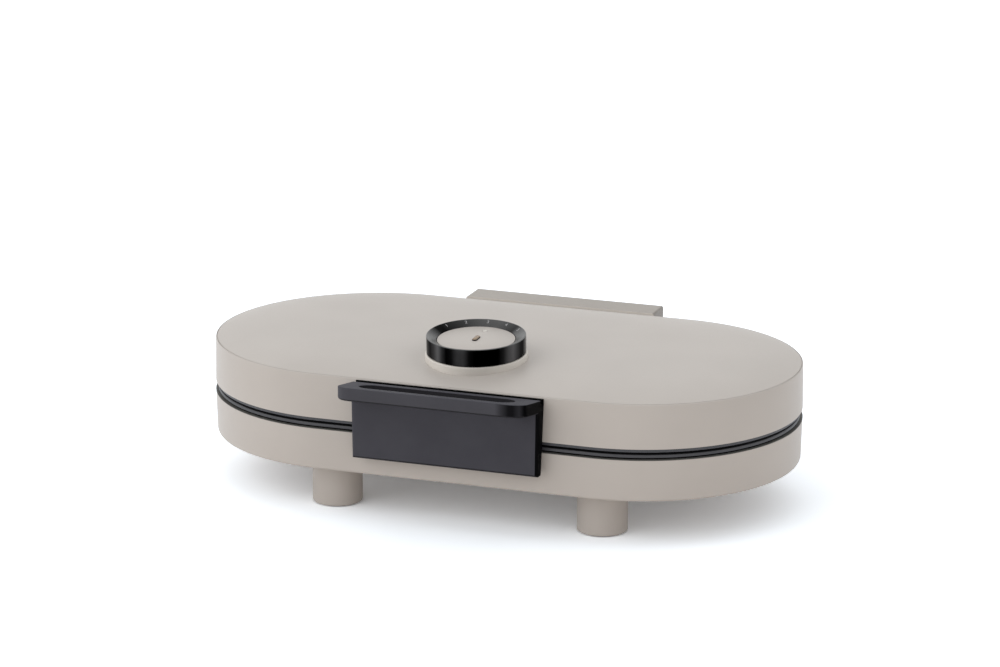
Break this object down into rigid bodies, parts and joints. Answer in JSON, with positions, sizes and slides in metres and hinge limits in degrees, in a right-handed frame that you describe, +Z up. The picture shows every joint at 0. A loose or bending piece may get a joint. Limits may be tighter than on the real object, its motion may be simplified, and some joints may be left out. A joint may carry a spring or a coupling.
{
  "type": "double waffle maker",
  "caption": "Countertop waffle maker with round ends, a hinged lid over paired round moulds, a turning browning dial on top and a grip at the front.",
  "frame": {"origin": "under the middle of the object's box, on the surface that it stands on", "axes": "+Z up, +X along the body towards the user's right, the grip towards -Y"},
  "size_m": [0.44, 0.3068, 0.1321],
  "materials": {
    "warm_grey": "fine satin",
    "black_plastic": "satin",
    "gloss_black": "gloss",
    "dark_trim": "satin",
    "coated_aluminium": "non-stick coating",
    "zinc_steel": "zinc plated",
    "tray_sheet": "bare sheet",
    "element_tube": "oxidised",
    "rubber": "matte",
    "amber_lens": "gloss",
    "pale_lens": "gloss",
    "circuit_board": "satin",
    "white_plastic": "satin"
  },
  "bodies": {
    "base": {"base_shell": "warm_grey", "base_bezel": "dark_trim", "foot_front_left": "warm_grey", "foot_front_right": "warm_grey", "foot_rear_left": "warm_grey", "foot_rear_right": "warm_grey", "foot_pad_front_left": "rubber", "foot_pad_front_right": "rubber", "foot_pad_rear_left": "rubber", "foot_pad_rear_right": "rubber", "foot_screw_front_left": "zinc_steel", "foot_screw_front_right": "zinc_steel", "foot_screw_rear_left": "zinc_steel", "foot_screw_rear_right": "zinc_steel", "lower_plate": "coated_aluminium", "lower_plate_screw_front": "zinc_steel", "lower_plate_screw_rear": "zinc_steel", "lower_heater_left": "element_tube", "lower_heater_right": "element_tube", "lower_reflector_left": "tray_sheet", "lower_reflector_right": "tray_sheet", "hinge_bracket": "zinc_steel", "bracket_screw_left": "zinc_steel", "bracket_screw_right": "zinc_steel", "hinge_pin_left": "zinc_steel", "hinge_pin_right": "zinc_steel", "inlet_bush": "black_plastic", "terminal_block": "white_plastic", "thermal_fuse": "zinc_steel"},
    "lid": {"lid_shell": "warm_grey", "lid_bezel": "dark_trim", "upper_plate": "coated_aluminium", "upper_plate_screw_front": "zinc_steel", "upper_plate_screw_rear": "zinc_steel", "upper_heater_left": "element_tube", "upper_heater_right": "element_tube", "upper_reflector_left": "tray_sheet", "upper_reflector_right": "tray_sheet", "lid_arm_left": "zinc_steel", "lid_arm_right": "zinc_steel", "arm_screw_left": "zinc_steel", "arm_screw_right": "zinc_steel", "hinge_cover": "warm_grey", "cover_screw_left": "zinc_steel", "cover_screw_right": "zinc_steel", "grip": "black_plastic", "grip_screw_left": "zinc_steel", "grip_screw_right": "zinc_steel", "dial_collar": "warm_grey", "dial_disc": "warm_grey", "power_lens": "amber_lens", "ready_lens": "pale_lens", "lamp_board": "circuit_board", "power_lamp": "pale_lens", "ready_lamp": "pale_lens", "thermostat": "white_plastic", "sensor_rod": "zinc_steel"},
    "dial": {"dial_ring": "gloss_black", "thermostat_spindle": "zinc_steel"}
  },
  "joints": [
    {"name": "lid_hinge", "type": "hinge", "parent": "base", "child": "lid", "pos_m": [0, 0.1407, 0.06855], "axis": [-1, 0, 0], "range_deg": [0, 100]},
    {"name": "dial_turn", "type": "hinge", "parent": "lid", "child": "dial", "pos_m": [0, -0.0541, 0.1301], "axis": [0, -0.0565, 0.9984], "range_deg": [-62, 86]}
  ]
}
